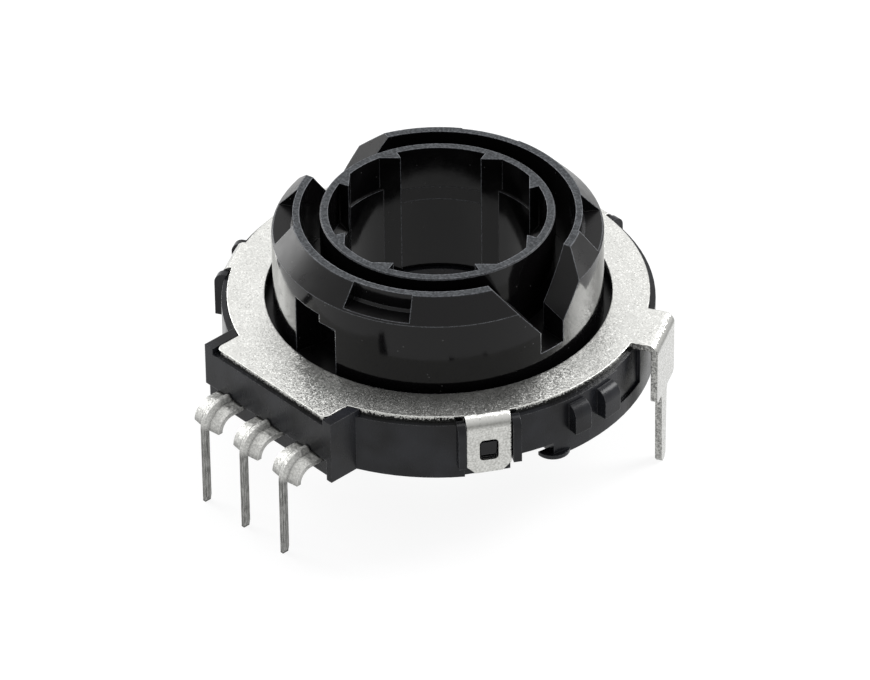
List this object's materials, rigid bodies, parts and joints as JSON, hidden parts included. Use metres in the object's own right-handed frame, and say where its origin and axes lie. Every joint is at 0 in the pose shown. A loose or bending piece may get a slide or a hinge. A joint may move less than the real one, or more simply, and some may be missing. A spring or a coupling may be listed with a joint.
{
  "type": "hollow shaft encoder",
  "caption": "Low round rotary encoder with a wide hollow shaft, a tabbed metal cover with mounting legs, and a row of solder terminals.",
  "frame": {"origin": "on the shaft axis, on the board's surface under the housing", "axes": "+Z along the shaft axis, away from the board; the terminal row faces -Y"},
  "size_m": [0.0198, 0.0213, 0.011],
  "materials": {
    "case_plastic": "satin black moulded",
    "plated_steel": "bright plated sheet",
    "rotor_plastic": "gloss black moulded",
    "disc_plastic": "natural moulded",
    "contact_metal": "bright stamped",
    "spring_metal": "bright spring sheet",
    "terminal_metal": "bright plated"
  },
  "bodies": {
    "stator": {"housing": "case_plastic", "cover_plate": "plated_steel", "click_spring": "spring_metal", "terminal_a": "terminal_metal", "terminal_common": "terminal_metal", "terminal_b": "terminal_metal", "wiper_a": "spring_metal", "wiper_common": "spring_metal", "wiper_b": "spring_metal"},
    "rotor": {"hollow_shaft": "rotor_plastic", "contact_disc": "disc_plastic", "contact_pattern": "contact_metal"}
  },
  "joints": [
    {"name": "rotor_spin", "type": "hinge", "parent": "stator", "child": "rotor", "pos_m": [0, 0, 0], "axis": [0, 0, 1], "continuous": true}
  ]
}
